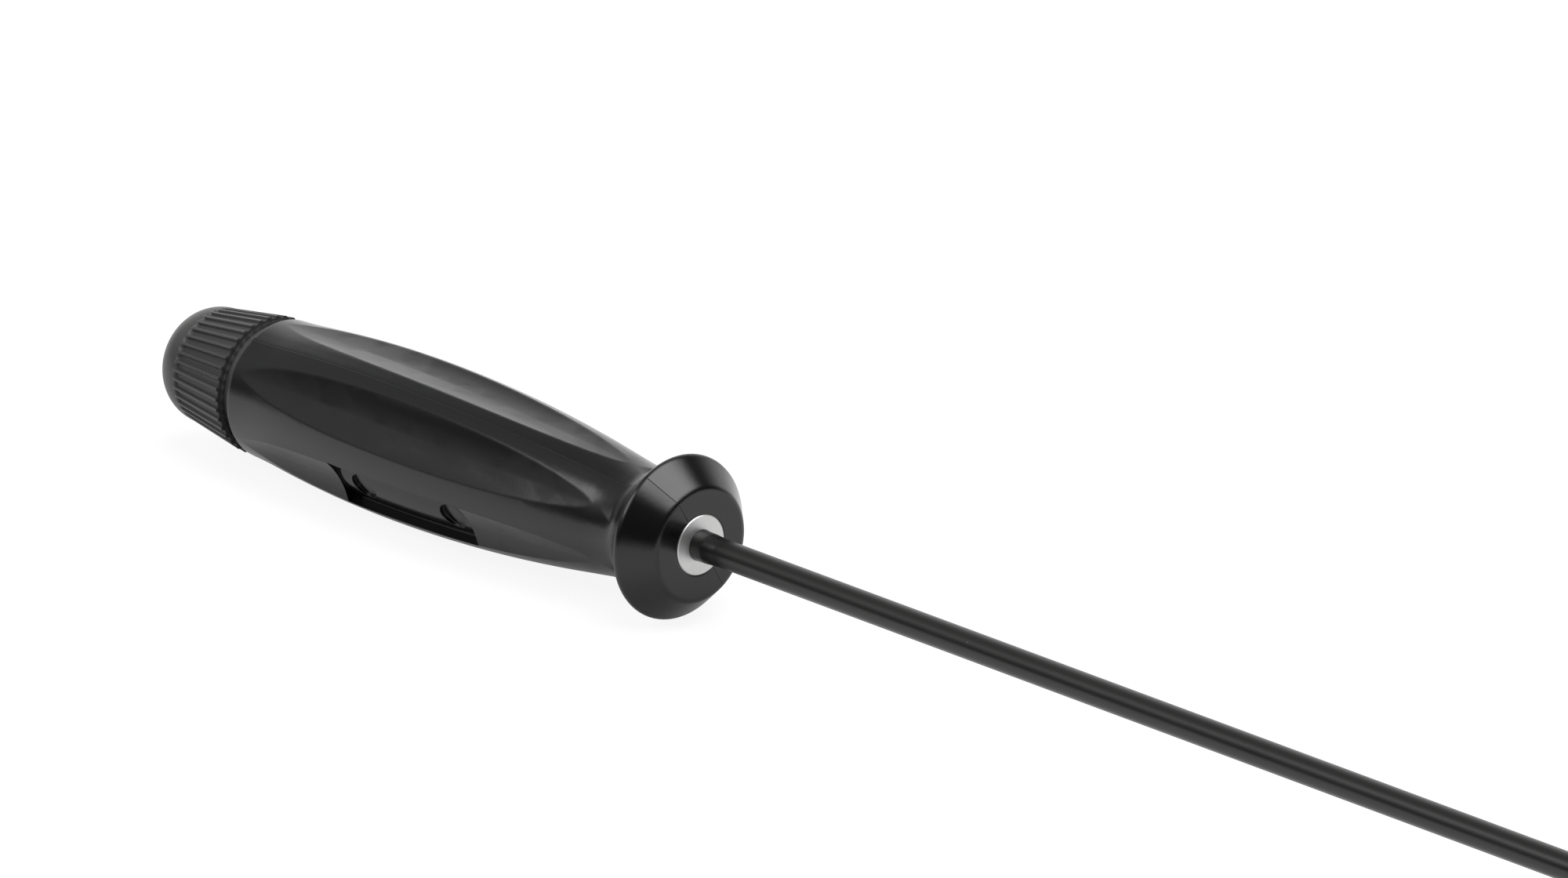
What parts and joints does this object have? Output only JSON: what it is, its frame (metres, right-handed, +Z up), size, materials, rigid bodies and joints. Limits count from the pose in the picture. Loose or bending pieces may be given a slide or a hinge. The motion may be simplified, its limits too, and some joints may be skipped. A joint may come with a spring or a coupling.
{
  "type": "cable shutter release",
  "caption": "Mechanical shutter release: moulded finger grip, sprung turning thumb cap, straight stem with a push wire and a free-turning camera nipple",
  "frame": {"origin": "centre of the shoulder where the camera thread of the nipple begins, on the common axis", "axes": "+X runs along the object towards the camera, +Z is up as it lies on a table, Y across"},
  "size_m": [0.3045, 0.0234, 0.0234],
  "materials": {
    "grip_black": "black moulded plastic, satin to glossy",
    "cap_black": "black moulded plastic, satin",
    "core_black": "black moulded plastic, glossy",
    "sleeve_black": "black shrunk sleeve, satin",
    "bush_bright": "turned aluminium, bright",
    "steel": "plain steel",
    "spring_steel": "drawn spring steel",
    "brass": "turned brass",
    "nickel": "nickel plated brass",
    "nylon": "natural nylon"
  },
  "bodies": {
    "grip": {"grip_shell_near": "grip_black", "grip_shell_far": "grip_black", "shell_screws": "steel", "front_bush": "bush_bright", "stem_tube": "steel", "stem_sleeve": "sleeve_black", "tube_collar": "brass", "spring_seat": "steel", "return_spring": "spring_steel", "rear_guide": "nylon", "front_guide": "nylon", "tip_ferrule": "nickel"},
    "plunger": {"plunger_stem": "steel", "slotted_link": "steel", "front_rod": "steel", "link_pins": "steel", "stop_clip": "spring_steel", "spring_clip": "spring_steel", "cap_clip": "spring_steel", "push_wire": "spring_steel", "wire_crimp": "brass", "tip_pin": "steel"},
    "cap": {"thumb_cap": "cap_black", "cap_core": "core_black", "friction_washer": "spring_steel"},
    "nipple": {"nipple_collar": "nickel", "nipple_nose": "nickel"}
  },
  "joints": [
    {"name": "plunger_press", "type": "slide", "parent": "grip", "child": "plunger", "axis": [1, 0, 0], "range_m": [0, 0.0015], "stiffness_N_per_m": 1000, "springref_m": -0.004, "deforming": ["return_spring"]},
    {"name": "cap_turn", "type": "hinge", "parent": "plunger", "child": "cap", "pos_m": [-0.2811, 0, 0], "axis": [1, 0, 0], "range_deg": [0, 60]},
    {"name": "nipple_turn", "type": "hinge", "parent": "grip", "child": "nipple", "pos_m": [-0.003, 0, 0], "axis": [1, 0, 0], "continuous": true}
  ]
}
